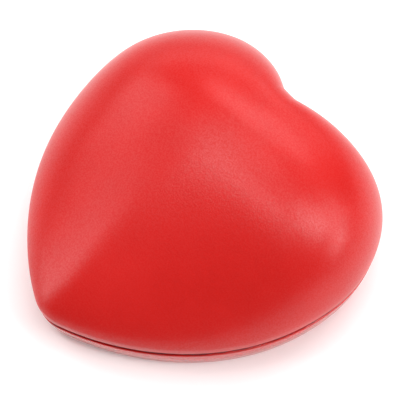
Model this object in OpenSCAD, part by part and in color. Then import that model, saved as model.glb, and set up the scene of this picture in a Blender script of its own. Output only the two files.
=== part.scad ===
// Heart-shaped squeeze toy that lies on its flat back.
// A soft foam core fills a closed skin, which was moulded in two halves: a tall
// crowned upper half and a shallow base. A thin trimmed fin is left between them.
// +X runs across the two lobes, +Y from the tip to the notch, +Z up to the crown.
// The origin is on the flat base, in the middle of the heart's width and length.

/* [Outline] */
// Width across the two lobes
heart_w = 72; // [62:1:84]
// Length from the tops of the lobes to the tip
heart_l = 71; // [62:1:82]
// Distance from the middle line to the top of each lobe
lobe_x = 16.5; // [14:0.5:19]
// Depth of the notch below the tops of the lobes
notch_depth = 9.8; // [8:0.1:12]
// Distance of the widest place below the tops of the lobes
widest_drop = 24; // [21:0.5:27]
// Radius of the rounded foot of the notch
notch_r = 2.3; // [1.5:0.1:3]
// Radius of the rounded tip
tip_r = 8.7; // [6:0.1:10]

/* [Profile] */
// Height of the crown above the base
heart_h = 35.2; // [32:0.1:40]
// Height of the widest level
widest_z = 11.5; // [10.5:0.1:13]
// Height of the parting line
seam_z = 8.45; // [6:0.05:9]
// How far the wall tucks in from the widest level to the parting line
seam_tuck = 0.3; // [0.1:0.1:1.2]
// How far the base strip tapers in from the parting line to the flat
base_taper = 1.8; // [0.5:0.1:2.5]

/* [Crown] */
// Distance of the crown's peak below the tops of the lobes
peak_drop = 21.9; // [20:0.1:25]
// Width of the ellipse that the crown's rings follow near the peak
crown_w = 90; // [72:1:94]
// Length of that ellipse
crown_l = 61; // [54:1:66]
// How late the rings turn from that ellipse into the heart, going down
heart_onset = 2.3; // [1.8:0.1:3]
// Fullness of the crown's shoulders: higher is squarer
shoulder = 1.75; // [1.6:0.05:2.2]
// Steepness of the crown's sides where they meet the widest level
steepness = 1.55; // [1.4:0.05:2]

/* [Build] */
// Thickness of the skin
skin_t = 1; // [0.6:0.1:1.5]
// Thickness of the fin left at the parting line
fin_t = 0.5; // [0.3:0.1:0.8]
// How far the fin stands out of the parting line
fin_reach = 0.2; // [0.1:0.1:0.6]
// How far the crown can be pressed down
squeeze_travel = 12; // [8:1:12]

/* [Hidden] */

// Number of steps along each stretch of the outline
arc_steps = 3;
lobe_steps = 8;
side_steps = 16;
// Number of rings in each stretch of the profile
peak_rings = 10;
shoulder_rings = 8;
tuck_rings = 4;
base_rings = 4;

skin_red = [0.86, 0.1, 0.1];
foam_red = [0.72, 0.16, 0.15];
fin_red = [0.5, 0.06, 0.09];

// Where the outline turns
half_w = heart_w / 2;
lobe_y = heart_l / 2;
notch = [0, lobe_y - notch_depth];
lobe_top = [lobe_x, lobe_y];
side = [half_w, lobe_y - widest_drop];
tip = [0, -lobe_y];

// How far the arcs at the notch and the tip turn on each side, in degrees
notch_turn = 60;
tip_turn = 23;

// Handles of the outline's curves
notch_handle = 0.224 * half_w * [cos(notch_turn), sin(notch_turn)];
lobe_inner_handle = [-0.125 * half_w, 0];
lobe_outer_handle = [0.325 * half_w, 0];
side_upper_handle = [0, 0.312 * half_w];
side_lower_handle = [0, -0.696 * half_w];
tip_handle = 0.394 * half_w * [cos(tip_turn), sin(tip_turn)];

// Edges of the two skins at the fin, and what lies between them
seam_top = seam_z + fin_t / 2;
seam_foot = seam_z - fin_t / 2;
fin_edge_t = fin_t / 2;
seam_share = 1 - seam_tuck / half_w;
base_share = seam_share - base_taper / half_w;

// The pressed half of the core stops this far above the fin
squeeze_gap = 1;
split_z = seam_top + squeeze_gap + squeeze_travel;

// Point at t on the cubic curve from a to b, whose ends pull towards their handles
function bezier(a, a_handle, b_handle, b, t) =
    pow(1 - t, 3) * a
    + 3 * pow(1 - t, 2) * t * (a + a_handle)
    + 3 * (1 - t) * t * t * (b + b_handle)
    + pow(t, 3) * b;

// The points of that curve at even steps, without its last point
function curve(a, a_handle, b_handle, b, steps) =
    [for (i = [0 : steps - 1]) bezier(a, a_handle, b_handle, b, i / steps)];

// Point on an arc that starts level at foot and has bent up by angle
function arc_point(foot, r, angle) = foot + r * [sin(angle), 1 - cos(angle)];

notch_end = arc_point(notch, notch_r, notch_turn);
tip_end = arc_point(tip, tip_r, tip_turn);
right_half = concat(
    [for (i = [0 : arc_steps - 1]) arc_point(notch, notch_r, notch_turn * i / arc_steps)],
    curve(notch_end, notch_handle, lobe_inner_handle, lobe_top, lobe_steps),
    curve(lobe_top, lobe_outer_handle, side_upper_handle, side, lobe_steps),
    curve(side, side_lower_handle, tip_handle, tip_end, side_steps),
    [for (i = [arc_steps : -1 : 1]) arc_point(tip, tip_r, tip_turn * i / arc_steps)]
);
left_half = [
    for (i = [len(right_half) - 1 : -1 : 1]) [-right_half[i][0], right_half[i][1]]
];
outline = concat(right_half, [tip], left_half);

// Spokes run from the line under the peak to the widest outline
peak_xy = [0, lobe_y - peak_drop];
spokes = [for (p = outline) p - peak_xy];

// The point of the crown's ellipse that lies along a spoke
function on_ellipse(spoke) =
    spoke / norm([2 * spoke[0] / crown_w, 2 * spoke[1] / crown_l]);

// A level of the profile is [share of the spokes, how far it is a heart, height]
function crown_level(share) = [
    share,
    pow(share, heart_onset),
    widest_z + (heart_h - widest_z) * pow(1 - pow(share, shoulder), 1 / steepness)
];
function tuck_level(f) = [
    1 - (1 - seam_share) * f * f,
    1,
    widest_z + (seam_top - widest_z) * f
];
function base_level(f) = [
    seam_share - (seam_share - base_share) * f * (1 + f) / 2,
    1,
    seam_foot * (1 - f)
];

// The share at which the crown has come down to height z
function crown_share(z) =
    pow(1 - pow((z - widest_z) / (heart_h - widest_z), steepness), 1 / shoulder);

// Heights move in by depth at the crown and the base, and stay at the parting line
function sunk(z, depth) =
    z > seam_z
    ? seam_top + (z - seam_top) * (1 - depth / (heart_h - seam_top))
    : seam_foot + (z - seam_foot) * (1 - depth / seam_foot);

// The ring of points at a level, at a depth under the outside of the skin
function ring(level, depth) = [
    for (spoke = spokes)
        let (round_part = (1 - level[1]) * on_ellipse(spoke))
        let (heart_part = level[1] * spoke)
        let (sunk_share = level[0] * (1 - depth / norm(spoke)))
        let (xy = peak_xy + sunk_share * (round_part + heart_part))
        [xy[0], xy[1], sunk(level[2], depth)]
];
function rings(levels, depth) = [for (level = levels) ring(level, depth)];
function reversed(list) = [for (i = [len(list) - 1 : -1 : 0]) list[i]];

// A point straight under the peak
function under_peak(z) = [peak_xy[0], peak_xy[1], z];

// The profile, from the peak down to the flat base. The split is level split_z of
// the core, so on the outside it lies where the skin's depth brings it there.
split_outer_z = seam_top + (split_z - seam_top) / (1 - skin_t / (heart_h - seam_top));
split_angle = asin(crown_share(split_outer_z));
peak_levels = [
    for (i = [1 : peak_rings]) crown_level(sin(split_angle * i / peak_rings))
];
shoulder_levels = [
    for (i = [1 : shoulder_rings])
        crown_level(sin(split_angle + (90 - split_angle) * i / shoulder_rings))
];
tuck_levels = [for (i = [1 : tuck_rings]) tuck_level(i / tuck_rings)];
base_levels = [for (i = [0 : base_rings]) base_level(i / base_rings)];
upper_levels = concat(peak_levels, shoulder_levels, tuck_levels);
split_level = peak_levels[peak_rings - 1];

// Two triangles for each step round the wall from ring a to ring b, as indices into
// points that start at first and hold count to a ring. The diagonal is the same one
// whichever way the wall is followed, so that faces which touch match.
function wall(first, count, a, b, uphill) = [
    for (i = [0 : count - 1])
        let (j = (i + 1) % count)
        let (a_start = first + a * count)
        let (b_start = first + b * count)
        each uphill
        ? [
            [a_start + i, b_start + i, b_start + j],
            [a_start + i, b_start + j, a_start + j]
        ]
        : [
            [a_start + i, b_start + i, a_start + j],
            [a_start + j, b_start + i, b_start + j]
        ]
];
function rises(a, b) = b[0][2] > a[0][2];

// A closed solid through a stack of rings, from the point top to the point foot
module ring_stack(top, stack, foot) {
    count = len(stack[0]);
    points = concat([top], [for (r = stack) each r], [foot]);
    foot_index = len(points) - 1;
    last_ring = foot_index - count;
    top_fan = [for (i = [0 : count - 1]) [0, 1 + i, 1 + (i + 1) % count]];
    walls = [
        for (r = [0 : len(stack) - 2])
            each wall(1, count, r, r + 1, rises(stack[r], stack[r + 1]))
    ];
    foot_fan = [
        for (i = [0 : count - 1])
            [foot_index, last_ring + (i + 1) % count, last_ring + i]
    ];
    polyhedron(points, concat(top_fan, walls, foot_fan));
}

// A closed band whose section has one corner on each ring
module ring_band(section) {
    count = len(section[0]);
    corners = len(section);
    points = [for (r = section) each r];
    walls = [
        for (r = [0 : corners - 1]) each wall(0, count, r, (r + 1) % corners, false)
    ];
    polyhedron(points, walls);
}

// The tall half of the skin: over the crown, down the sides and in to the fin
module upper_skin() {
    color(skin_red)
        ring_stack(
            under_peak(heart_h),
            concat(rings(upper_levels, 0), reversed(rings(upper_levels, skin_t))),
            under_peak(heart_h - skin_t)
        );
}

// The shallow half of the skin: the flat that the toy rests on and its low rim
module lower_skin() {
    color(skin_red)
        ring_stack(
            under_peak(skin_t),
            concat(reversed(rings(base_levels, skin_t)), rings(base_levels, 0)),
            under_peak(0)
        );
}

// The fin between the two skins, full under them and thinner where it stands out
module parting_fin() {
    function fin_ring(z, depth) = [
        for (spoke = spokes)
            let (xy = peak_xy + seam_share * (1 - depth / norm(spoke)) * spoke)
            [xy[0], xy[1], z]
    ];
    color(fin_red)
        ring_band([
            fin_ring(seam_top, skin_t),
            fin_ring(seam_top, 0),
            fin_ring(seam_z + fin_edge_t / 2, -fin_reach),
            fin_ring(seam_z - fin_edge_t / 2, -fin_reach),
            fin_ring(seam_foot, 0),
            fin_ring(seam_foot, skin_t)
        ]);
}

// The half of the foam that moves with the crown
module foam_core_upper() {
    color(foam_red)
        ring_stack(
            under_peak(heart_h - skin_t),
            rings(peak_levels, skin_t),
            under_peak(split_z)
        );
}

// The half of the foam that sits in the base
module foam_core_lower() {
    levels = concat([split_level], shoulder_levels, tuck_levels, base_levels);
    color(foam_red)
        ring_stack(
            under_peak(split_z),
            rings(levels, skin_t),
            under_peak(skin_t)
        );
}

upper_skin();
lower_skin();
parting_fin();
foam_core_upper();
foam_core_lower();
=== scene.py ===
import math

import bpy
import numpy as np
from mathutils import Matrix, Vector, noise


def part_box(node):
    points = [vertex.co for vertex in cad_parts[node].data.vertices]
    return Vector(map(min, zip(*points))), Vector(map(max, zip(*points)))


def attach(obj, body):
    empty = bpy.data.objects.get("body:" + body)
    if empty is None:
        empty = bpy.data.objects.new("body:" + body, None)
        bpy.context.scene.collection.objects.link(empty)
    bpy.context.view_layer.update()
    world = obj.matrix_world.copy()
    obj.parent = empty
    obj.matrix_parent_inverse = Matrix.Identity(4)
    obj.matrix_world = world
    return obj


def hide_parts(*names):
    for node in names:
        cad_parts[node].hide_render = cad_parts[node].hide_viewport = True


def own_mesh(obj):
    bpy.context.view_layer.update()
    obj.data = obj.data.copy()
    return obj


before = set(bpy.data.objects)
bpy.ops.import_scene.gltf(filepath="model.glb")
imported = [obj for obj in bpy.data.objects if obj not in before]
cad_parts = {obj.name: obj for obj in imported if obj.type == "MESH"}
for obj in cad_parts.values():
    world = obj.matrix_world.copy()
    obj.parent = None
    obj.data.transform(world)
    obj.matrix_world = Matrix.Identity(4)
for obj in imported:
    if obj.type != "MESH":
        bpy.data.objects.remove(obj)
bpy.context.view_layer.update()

MM = 0.001


# ---------------------------------------------------------------- sizes from the frame

skin_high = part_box("upper_skin")[1]
fin_low, fin_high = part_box("parting_fin")
base_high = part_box("lower_skin")[1]
core_low, core_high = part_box("foam_core_upper")

HALF_W = skin_high.x
LOBE_Y = skin_high.y
CROWN_Z = skin_high.z
SEAM_TOP = fin_high.z
SEAM_FOOT = fin_low.z
SEAM_SHARE = base_high.x / HALF_W
SPLIT_Z = core_low.z
SKIN_T = CROWN_Z - core_high.z

# The rest of the heart's form, as in the CAD model
LOBE_X = 16.5 * MM
NOTCH_DEPTH = 9.8 * MM
WIDEST_DROP = 24.0 * MM
WIDEST_Z = 11.5 * MM
PEAK_DROP = 21.9 * MM
CROWN_HALF_W = 45.0 * MM
CROWN_HALF_L = 30.5 * MM
HEART_ONSET = 2.3
SHOULDER = 1.75
STEEPNESS = 1.55
BASE_TAPER = 1.8 * MM

# Arcs that round the foot of the notch and the tip, and how far they turn on each side
NOTCH_R = 2.3 * MM
NOTCH_TURN = math.radians(60)
TIP_R = 8.7 * MM
TIP_TURN = math.radians(23)

# Handles of the outline's curves
NOTCH_HANDLE = 0.224 * HALF_W * np.array([math.cos(NOTCH_TURN), math.sin(NOTCH_TURN)])
LOBE_INNER_HANDLE = np.array([-0.125 * HALF_W, 0.0])
LOBE_OUTER_HANDLE = np.array([0.325 * HALF_W, 0.0])
SIDE_UPPER_HANDLE = np.array([0.0, 0.312 * HALF_W])
SIDE_LOWER_HANDLE = np.array([0.0, -0.696 * HALF_W])
TIP_HANDLE = 0.394 * HALF_W * np.array([math.cos(TIP_TURN), math.sin(TIP_TURN)])

# How finely the outline is built
ARC_STEPS = 10
LOBE_STEPS = 36
SIDE_STEPS = 64

# How many rings each part of the outside, the skin's inside and the core has; the inside of
# the crown keeps every third ring of its outside
CROWN_RINGS = 84
TUCK_RINGS = 16
BASE_RINGS = 20
LIP_RINGS = 8
INSIDE_CROWN_STRIDE = 3
INSIDE_TUCK_RINGS = 4
CORE_CROWN_RINGS = 24
CORE_SHOULDER_RINGS = 12
CORE_TUCK_RINGS = 6
CORE_BASE_RINGS = 8

# The groove at the parting line: how far each skin stops short of the fin on the
# outside, and the radius that rounds its edge
UPPER_GAP = 0.8 * MM
LOWER_GAP = 0.3 * MM
LIP = 0.3 * MM

# The fin in the groove: how deep its flat faces, its slopes and its edge lie, the share of
# its thickness that is left on the slopes, and how far and how finely it is torn
FIN_FLAT_DEPTH = 0.6 * MM
FIN_SLOPE_DEPTH = 0.35 * MM
FIN_EDGE_DEPTH = 0.2 * MM
FIN_SLOPE_SHARE = 0.6
TEAR_OUT = 0.3 * MM
TEAR_UP = 0.1 * MM
TEARS_OUT_PER_M = 600
TEARS_UP_PER_M = 900

# How fine each noise in the materials is, per metre, and the middle range of its values
PATCH_SCALE = 60
RIPPLE_SCALE = 700
CELL_SCALE = 1800
PEBBLE_SCALE = 3200
NOISE_MIDDLE = (0.35, 0.65)

# The coat's colour from patch to patch, and its specular level across the pebble
COAT_DARK = (0.59, 0.015, 0.013)
COAT_LIGHT = (0.63, 0.018, 0.016)
COAT_GLOSS = (0.27, 0.59)

# How far from the toy the floor's painted light changes, and from what to what: a painted pool of
# light (colour white at the toy, darker away) and a painted glow (faint at the toy, where it lightens
# the shadow, stronger far out)
PAINTED_LIGHT_FALLOFF_SPAN = (0.06, 0.18)
PAINTED_LIGHT_FALLOFF_LEVELS = (0.95, 0.5)
PAINTED_GLOW_SPAN = (0.3, 2.0)
PAINTED_GLOW_LEVELS = (0.12, 0.75)


# ---------------------------------------------------------------- the heart's form


def curve(a, a_handle, b_handle, b, steps):
    """Points of the cubic curve from a to b at even steps, without its last point."""
    t = (np.arange(steps) / steps)[:, None]
    return (
        (1 - t) ** 3 * a
        + 3 * (1 - t) ** 2 * t * (a + a_handle)
        + 3 * (1 - t) * t**2 * (b + b_handle)
        + t**3 * b
    )


def arc(foot, radius, angles):
    """Points on an arc that starts level at foot and bends up by these angles."""
    return foot + radius * np.column_stack([np.sin(angles), 1 - np.cos(angles)])


def widest_outline():
    """The heart at its widest level, clockwise from the notch."""
    notch = np.array([0.0, LOBE_Y - NOTCH_DEPTH])
    lobe_top = np.array([LOBE_X, LOBE_Y])
    side = np.array([HALF_W, LOBE_Y - WIDEST_DROP])
    tip = np.array([0.0, -LOBE_Y])
    notch_arc = arc(notch, NOTCH_R, np.linspace(0, NOTCH_TURN, ARC_STEPS + 1))
    tip_arc = arc(tip, TIP_R, np.linspace(TIP_TURN, 0, ARC_STEPS + 1))
    right = np.vstack(
        [
            notch_arc[:-1],
            curve(notch_arc[-1], NOTCH_HANDLE, LOBE_INNER_HANDLE, lobe_top, LOBE_STEPS),
            curve(lobe_top, LOBE_OUTER_HANDLE, SIDE_UPPER_HANDLE, side, LOBE_STEPS),
            curve(side, SIDE_LOWER_HANDLE, TIP_HANDLE, tip_arc[0], SIDE_STEPS),
            tip_arc[:-1],
        ]
    )
    left = right[:0:-1] * [-1, 1]
    return np.vstack([right, [tip], left])


PEAK_XY = np.array([0.0, LOBE_Y - PEAK_DROP])
SPOKES = widest_outline() - PEAK_XY
SPOKE_LENGTHS = np.linalg.norm(SPOKES, axis=1)
ON_ELLIPSE = SPOKES / np.hypot(SPOKES[:, 0] / CROWN_HALF_W, SPOKES[:, 1] / CROWN_HALF_L)[:, None]
ROUND_COUNT = len(SPOKES)


def sunk(z, depth):
    """The height of a level at a depth under the outside: it stays put at the parting line."""
    if z > (SEAM_TOP + SEAM_FOOT) / 2:
        return SEAM_TOP + (z - SEAM_TOP) * (1 - depth / (CROWN_Z - SEAM_TOP))
    return SEAM_FOOT + (z - SEAM_FOOT) * (1 - depth / SEAM_FOOT)


def ring(share, heart_part, z, depth):
    """One ring of points, at a depth under the outside of the skin."""
    reach = (1 - heart_part) * ON_ELLIPSE + heart_part * SPOKES
    xy = PEAK_XY + (share * (1 - depth / SPOKE_LENGTHS))[:, None] * reach
    return np.column_stack([xy, np.full(ROUND_COUNT, sunk(z, depth))])


def crown_level(share):
    """A level of the crown: its share of the widest reach, how much heart it has, its height."""
    rise = max(0.0, 1 - share**SHOULDER) ** (1 / STEEPNESS)
    return share, share**HEART_ONSET, WIDEST_Z + (CROWN_Z - WIDEST_Z) * rise


def tuck_level(f):
    """A level of the tuck, from the widest (0) to the parting line (1)."""
    return 1 - (1 - SEAM_SHARE) * f * f, 1.0, WIDEST_Z + (SEAM_TOP - WIDEST_Z) * f


def base_level(f):
    """A level of the base, from the parting line (0) to the flat back (1)."""
    return SEAM_SHARE - BASE_TAPER / HALF_W * f * (1 + f) / 2, 1.0, SEAM_FOOT * (1 - f)


def crown_share(z):
    """The share of the widest reach that the crown has at a height."""
    return (1 - ((z - WIDEST_Z) / (CROWN_Z - WIDEST_Z)) ** STEEPNESS) ** (1 / SHOULDER)


def quarter_steps(count, start=0.0, end=90.0):
    """Sines of even steps of angle, so that rings bunch where the profile turns."""
    return np.sin(np.radians(np.linspace(start, end, count + 1)))


# ---------------------------------------------------------------- mesh building


def wall_faces(first, a, b):
    """Quads round the wall between rings a and b of points that start at first."""
    i = np.arange(ROUND_COUNT)
    j = (i + 1) % ROUND_COUNT
    a, b = first + a * ROUND_COUNT, first + b * ROUND_COUNT
    return np.column_stack([a + j, b + j, b + i, a + i]).tolist()


def piece_from(name, points, faces, material):
    """A smooth piece from points and faces."""
    mesh = bpy.data.meshes.new(name)
    mesh.from_pydata([tuple(p) for p in points], [], faces)
    mesh.validate()
    mesh.shade_smooth()
    piece = bpy.data.objects.new(name, mesh)
    bpy.context.scene.collection.objects.link(piece)
    mesh.materials.append(material)
    return piece


def ring_stack(name, top, stack, foot, material):
    """A closed solid through a stack of rings, from the point top to the point foot."""
    points = np.vstack([[top], *stack, [foot]])
    last = len(points) - 1
    i = np.arange(ROUND_COUNT)
    j = (i + 1) % ROUND_COUNT
    faces = [[0, 1 + b, 1 + a] for a, b in zip(i, j)]
    for r in range(len(stack) - 1):
        faces += wall_faces(1, r, r + 1)
    foot_ring = last - ROUND_COUNT
    faces += [[last, foot_ring + a, foot_ring + b] for a, b in zip(i, j)]
    return piece_from(name, points, faces, material)


def ring_band(name, section, material):
    """A closed band whose section has one corner on each ring."""
    faces = []
    for r in range(len(section)):
        faces += wall_faces(0, r, (r + 1) % len(section))
    return piece_from(name, np.vstack(section), faces, material)


def under_peak(z):
    """The point on the peak's vertical line at a height."""
    return np.array([*PEAK_XY, z])


# ---------------------------------------------------------------- materials


def node_material(name):
    material = bpy.data.materials.new(name)
    material.use_nodes = True
    nodes = material.node_tree.nodes
    return material, nodes, material.node_tree.links, nodes["Principled BSDF"]


def place_on_object(nodes):
    """Each point's place on its object, from one node in each material."""
    place = nodes.get("Place") or nodes.new("ShaderNodeTexCoord")
    place.name = "Place"
    return place.outputs["Object"]


def noise_node(nodes, links, scale, detail, roughness=0.5):
    texture = nodes.new("ShaderNodeTexNoise")
    texture.inputs["Scale"].default_value = scale
    texture.inputs["Detail"].default_value = detail
    texture.inputs["Roughness"].default_value = roughness
    links.new(place_on_object(nodes), texture.inputs["Vector"])
    return texture


def map_range(nodes, links, source, from_range, to_range):
    """A node that maps source from one range to another, and stops at its ends."""
    node = nodes.new("ShaderNodeMapRange")
    node.inputs["From Min"].default_value, node.inputs["From Max"].default_value = from_range
    node.inputs["To Min"].default_value, node.inputs["To Max"].default_value = to_range
    links.new(source, node.inputs["Value"])
    return node


def tint_node(nodes, links, texture, span, dark, light):
    """A ramp from dark to light as the texture goes from one end of span to the other."""
    node = nodes.new("ShaderNodeValToRGB")
    for stop, position, colour in zip(node.color_ramp.elements, span, (dark, light)):
        stop.position = position
        stop.color = (*colour, 1)
    links.new(texture.outputs["Fac"], node.inputs["Fac"])
    return node


def bump_node(nodes, links, texture, strength, distance):
    node = nodes.new("ShaderNodeBump")
    node.inputs["Strength"].default_value = strength
    node.inputs["Distance"].default_value = distance
    links.new(texture.outputs["Fac"], node.inputs["Height"])
    return node


def skin_material(name, roughness, ior):
    """The red coat: faint patches of colour, a fine pebble that varies its gloss, a ripple."""
    material, nodes, links, shader = node_material(name)
    shader.inputs["Roughness"].default_value = roughness
    shader.inputs["IOR"].default_value = ior

    patches = noise_node(nodes, links, PATCH_SCALE, 3)
    pebble = noise_node(nodes, links, PEBBLE_SCALE, 1)
    ripple = noise_node(nodes, links, RIPPLE_SCALE, 2)

    tint = tint_node(nodes, links, patches, NOISE_MIDDLE, COAT_DARK, COAT_LIGHT)
    links.new(tint.outputs["Color"], shader.inputs["Base Color"])

    gloss = map_range(nodes, links, pebble.outputs["Fac"], NOISE_MIDDLE, COAT_GLOSS)
    links.new(gloss.outputs["Result"], shader.inputs["Specular IOR Level"])

    pebble_bump = bump_node(nodes, links, pebble, 1.0, 0.02 * MM)
    ripple_bump = bump_node(nodes, links, ripple, 0.3, 0.06 * MM)
    links.new(pebble_bump.outputs["Normal"], ripple_bump.inputs["Normal"])
    links.new(ripple_bump.outputs["Normal"], shader.inputs["Normal"])
    return material


def foam_material(name, dark, light, roughness):
    """Bare foam, with open cells."""
    material, nodes, links, shader = node_material(name)
    shader.inputs["Roughness"].default_value = roughness
    cells = noise_node(nodes, links, CELL_SCALE, 4, 0.7)
    tint = tint_node(nodes, links, cells, (0.3, 0.7), dark, light)
    links.new(tint.outputs["Color"], shader.inputs["Base Color"])
    bump = bump_node(nodes, links, cells, 0.7, 0.1 * MM)
    links.new(bump.outputs["Normal"], shader.inputs["Normal"])
    return material


def floor_material():
    """Painted light: white at the toy and light grey away from it, a painted pool of light, with a
    painted glow that is faint at the toy, where it lightens the shadow, and grows beyond the
    softboxes.
    """
    material, nodes, links, shader = node_material("floor_painted_light")
    away = nodes.new("ShaderNodeVectorMath")
    away.operation = "LENGTH"
    links.new(place_on_object(nodes), away.inputs[0])
    # Painted pool of light: the floor's colour is white at the toy and darker away from it.
    painted_falloff = map_range(nodes, links, away.outputs["Value"], PAINTED_LIGHT_FALLOFF_SPAN, PAINTED_LIGHT_FALLOFF_LEVELS)
    painted_falloff.interpolation_type = "SMOOTHSTEP"
    links.new(painted_falloff.outputs["Result"], shader.inputs["Base Color"])
    # Painted glow: the floor glows faintly at the toy, which lightens the toy's shadow, and more
    # strongly far away.
    painted_glow = map_range(nodes, links, away.outputs["Value"], PAINTED_GLOW_SPAN, PAINTED_GLOW_LEVELS)
    links.new(painted_glow.outputs["Result"], shader.inputs["Emission Strength"])
    shader.inputs["Emission Color"].default_value = (1, 1, 1, 1)
    shader.inputs["Roughness"].default_value = 0.9
    return material


# ---------------------------------------------------------------- pieces


def lip(end_level, into):
    """Levels that round the edge of a skin off, down (-1) or up (1) into the groove."""
    share, heart_part, z = end_level
    levels = []
    for angle in np.radians(np.linspace(0, 90, LIP_RINGS + 1))[1:]:
        inset = LIP * (1 - math.cos(angle)) / HALF_W
        levels.append((share - inset, heart_part, z + into * LIP * math.sin(angle)))
    return levels


def build_upper_skin(material):
    """The skin over the crown, open below, whose outer edge is rounded into the groove."""
    crown = [crown_level(s) for s in quarter_steps(CROWN_RINGS)[1:]]
    room = (UPPER_GAP + LIP) / (WIDEST_Z - SEAM_TOP)
    tuck = [tuck_level(f) for f in np.linspace(0, 1 - room, TUCK_RINGS)[1:]]
    outside = crown + tuck + lip(tuck[-1], -1)
    inside = crown[::INSIDE_CROWN_STRIDE] + [crown[-1]]
    inside += [tuck_level(f) for f in np.linspace(0, 1, INSIDE_TUCK_RINGS + 1)[1:]]
    stack = [ring(*level, 0.0) for level in outside]
    stack += [ring(*level, SKIN_T) for level in inside[::-1]]
    top, foot = under_peak(CROWN_Z), under_peak(CROWN_Z - SKIN_T)
    return ring_stack("heart_upper_skin", top, stack, foot, material)


def build_lower_skin(material):
    """The dish of the flat back, whose outer edge is rounded into the groove."""
    levels = [base_level(f) for f in np.linspace(0, 1, BASE_RINGS + 1)]
    room = LOWER_GAP + LIP
    outside = [level for level in levels if level[2] < SEAM_FOOT - room]
    first = base_level(room / SEAM_FOOT)
    outside = lip(first, 1)[::-1] + [first] + outside
    stack = [ring(*level, SKIN_T) for level in levels[::-1]]
    stack += [ring(*level, 0.0) for level in outside]
    top, foot = under_peak(SKIN_T), under_peak(0.0)
    return ring_stack("heart_lower_skin", top, stack, foot, material)


def build_fin(material):
    """A thin edge of torn foam in the groove, of uneven height and reach."""
    middle = (SEAM_TOP + SEAM_FOOT) / 2
    half_t = (SEAM_TOP - SEAM_FOOT) / 2
    directions = SPOKES / SPOKE_LENGTHS[:, None]

    def corner(depth, height, torn):
        xy = PEAK_XY + SEAM_SHARE * SPOKES - directions * depth
        z = np.full(ROUND_COUNT, middle + height)
        if torn:
            for i, (x, y) in enumerate(xy):
                tear = noise.noise(Vector((x, y, height)) * TEARS_OUT_PER_M)
                xy[i] -= directions[i] * TEAR_OUT * tear
                z[i] += TEAR_UP * noise.noise(Vector((y, x, height)) * TEARS_UP_PER_M)
        return np.column_stack([xy, z])

    section = [
        corner(SKIN_T, half_t, False),
        corner(FIN_FLAT_DEPTH, half_t, False),
        corner(FIN_SLOPE_DEPTH, half_t * FIN_SLOPE_SHARE, True),
        corner(FIN_EDGE_DEPTH, 0.0, True),
        corner(FIN_SLOPE_DEPTH, -half_t * FIN_SLOPE_SHARE, True),
        corner(FIN_FLAT_DEPTH, -half_t, False),
        corner(SKIN_T, -half_t, False),
    ]
    return ring_band("parting_fin_edge", section, material)


def build_core(name, levels, top_z, foot_z, material):
    stack = [ring(*level, SKIN_T) for level in levels]
    return ring_stack(name, under_peak(top_z), stack, under_peak(foot_z), material)


def build_cores(material):
    """The two halves of the core, which meet at the level that is sunk to SPLIT_Z."""
    split_z = SEAM_TOP + (SPLIT_Z - SEAM_TOP) / (1 - SKIN_T / (CROWN_Z - SEAM_TOP))
    split_angle = math.degrees(math.asin(crown_share(split_z)))
    crown = [crown_level(s) for s in quarter_steps(CORE_CROWN_RINGS, 0, split_angle)[1:]]
    shoulder = [crown_level(s) for s in quarter_steps(CORE_SHOULDER_RINGS, split_angle, 90)]
    tuck = [tuck_level(f) for f in np.linspace(0, 1, CORE_TUCK_RINGS + 1)[1:]]
    base = [base_level(f) for f in np.linspace(0, 1, CORE_BASE_RINGS + 1)]
    upper = build_core("foam_core_top", crown, CROWN_Z - SKIN_T, SPLIT_Z, material)
    lower = build_core("foam_core_foot", shoulder + tuck + base, SPLIT_Z, SKIN_T, material)
    return upper, lower


# ---------------------------------------------------------------- stage


VIEW_AZIMUTH = math.radians(50.4)
VIEW_ELEVATION = math.radians(62.1)
VIEW_DISTANCE = 0.36

# In the camera's own millimetres
FOCAL_LENGTH = 158.1
SENSOR_WIDTH = 36

# Directions across the picture, away from the camera along the floor, and towards it
ACROSS = Vector((math.cos(VIEW_AZIMUTH), math.sin(VIEW_AZIMUTH), 0))
AWAY = Vector((-math.sin(VIEW_AZIMUTH), math.cos(VIEW_AZIMUTH), 0))
TO_CAMERA = -AWAY * math.cos(VIEW_ELEVATION) + Vector((0, 0, math.sin(VIEW_ELEVATION)))
PICTURE_UP = TO_CAMERA.cross(ACROSS)

# The softboxes face this point inside the toy, and the camera aims a little beside it
CENTRE = Vector((0, 4.3 * MM, 14.1 * MM))
AIM = CENTRE + (ACROSS * 0.77 - PICTURE_UP * 1.26) * MM

# Name, direction as (across, away, up), size as (width, height), and watts. The softboxes
# stand as far from the toy as the direction is long, all in metres.
SOFTBOXES = [
    ("overhead", (-0.1, -0.18, 1.0), (0.9, 0.15), 2.8),
    ("top_back", (0.0, 0.1, 1.0), (0.9, 0.3), 2.1),
    ("back_high", (-0.1, 0.36, 0.93), (1.2, 0.3), 1.9),
    ("back_mid", (0.3, 0.6, 0.7), (0.9, 0.3), 3.0),
    ("back_low", (0.0, 1.0, 0.25), (1.2, 0.2), 1.3),
    ("back_left", (-0.7, 0.6, 0.5), (0.5, 0.5), 2.0),
    ("back_right", (0.6, 0.7, 0.4), (0.5, 0.5), 0.9),
    ("left", (-1.0, 0.0, 0.4), (0.5, 0.8), 4.7),
    ("right", (1.0, -0.15, 0.45), (0.5, 0.6), 3.0),
    ("right_side", (0.64, -0.3, 0.64), (0.3, 0.4), 2.4),
    ("right_top", (0.4, -0.35, 0.8), (0.4, 0.3), 0.9),
    ("right_low", (0.95, -0.35, 0.2), (0.4, 0.2), 1.3),
]

FLOOR_REACH = 4.0
BACKDROP_STRENGTH = 0.8


def build_camera():
    camera = bpy.data.objects.new("camera", bpy.data.cameras.new("camera"))
    camera.data.lens = FOCAL_LENGTH
    camera.data.sensor_width = SENSOR_WIDTH
    camera.data.clip_start = 0.01
    camera.rotation_mode = "QUATERNION"
    camera.rotation_quaternion = TO_CAMERA.to_track_quat("Z", "Y")
    camera.location = AIM + TO_CAMERA * VIEW_DISTANCE
    bpy.context.scene.collection.objects.link(camera)
    bpy.context.scene.camera = camera


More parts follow.
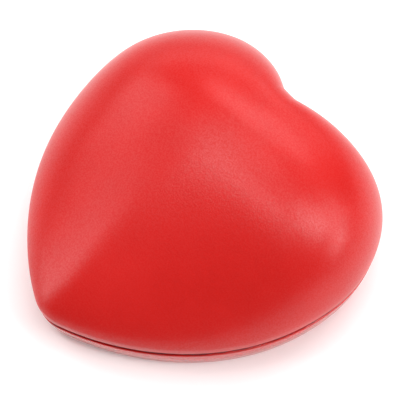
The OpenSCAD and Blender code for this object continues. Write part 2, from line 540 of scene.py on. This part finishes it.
def build_softbox(name, direction, size, watts):
    """A soft light that faces the toy from a direction given as the camera sees it."""
    data = bpy.data.lights.new(name, "AREA")
    data.shape = "RECTANGLE"
    data.size, data.size_y = size
    data.energy = watts
    light = bpy.data.objects.new(name, data)
    across, away, up = direction
    place = ACROSS * across + AWAY * away + Vector((0, 0, up))
    light.location = CENTRE + place
    light.rotation_mode = "QUATERNION"
    light.rotation_quaternion = place.to_track_quat("Z", "Y")
    bpy.context.scene.collection.objects.link(light)


def build_floor():
    corners = [(x * FLOOR_REACH, y * FLOOR_REACH, 0) for x, y in ((-1, -1), (1, -1), (1, 1), (-1, 1))]
    mesh = bpy.data.meshes.new("floor")
    mesh.from_pydata(corners, [], [(0, 1, 2, 3)])
    mesh.materials.append(floor_material())
    floor = bpy.data.objects.new("floor", mesh)
    bpy.context.scene.collection.objects.link(floor)


def build_backdrop():
    """A pale backdrop that is seen but sheds no light: the softboxes and the floor do that."""
    world = bpy.data.worlds.new("studio")
    bpy.context.scene.world = world
    world.use_nodes = True
    background = world.node_tree.nodes["Background"]
    background.inputs["Color"].default_value = (1, 1, 1, 1)
    background.inputs["Strength"].default_value = BACKDROP_STRENGTH
    world.cycles_visibility.diffuse = False
    world.cycles_visibility.glossy = False


def build_stage():
    build_floor()
    build_backdrop()
    for row in SOFTBOXES:
        build_softbox(*row)
    bpy.context.scene.view_settings.view_transform = "Standard"


def main():
    build_camera()
    coat = skin_material("red_coat", 0.3, 1.42)
    base_coat = skin_material("red_coat_base", 0.12, 1.55)
    # The fin's foam is coloured far darker than the core foam it is cut from. This is partly bare
    # torn foam and partly painted shade of the groove it sits in.
    torn_foam_painted_shade = foam_material("torn_foam_painted_shade", (0.10, 0.003, 0.005), (0.30, 0.012, 0.018), 0.8)
    core_foam = foam_material("core_foam", (0.42, 0.03, 0.025), (0.62, 0.07, 0.055), 0.9)

    upper_skin = build_upper_skin(coat)
    lower_skin = build_lower_skin(base_coat)
    fin = build_fin(torn_foam_painted_shade)
    core_top, core_foot = build_cores(core_foam)

    rows = [
        (upper_skin, "upper_skin", "crown", "red_skin"),
        (lower_skin, "lower_skin", "base", "red_skin"),
        (fin, "parting_fin", "base", "trimmed_foam"),
        (core_top, "foam_core_upper", "crown", "core_foam"),
        (core_foot, "foam_core_lower", "base", "core_foam"),
    ]
    for piece, node, body, slot in rows:
        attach(piece, body)
        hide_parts(node)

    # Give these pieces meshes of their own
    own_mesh(upper_skin)
    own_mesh(core_top)
    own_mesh(core_foot)

    build_stage()


main()
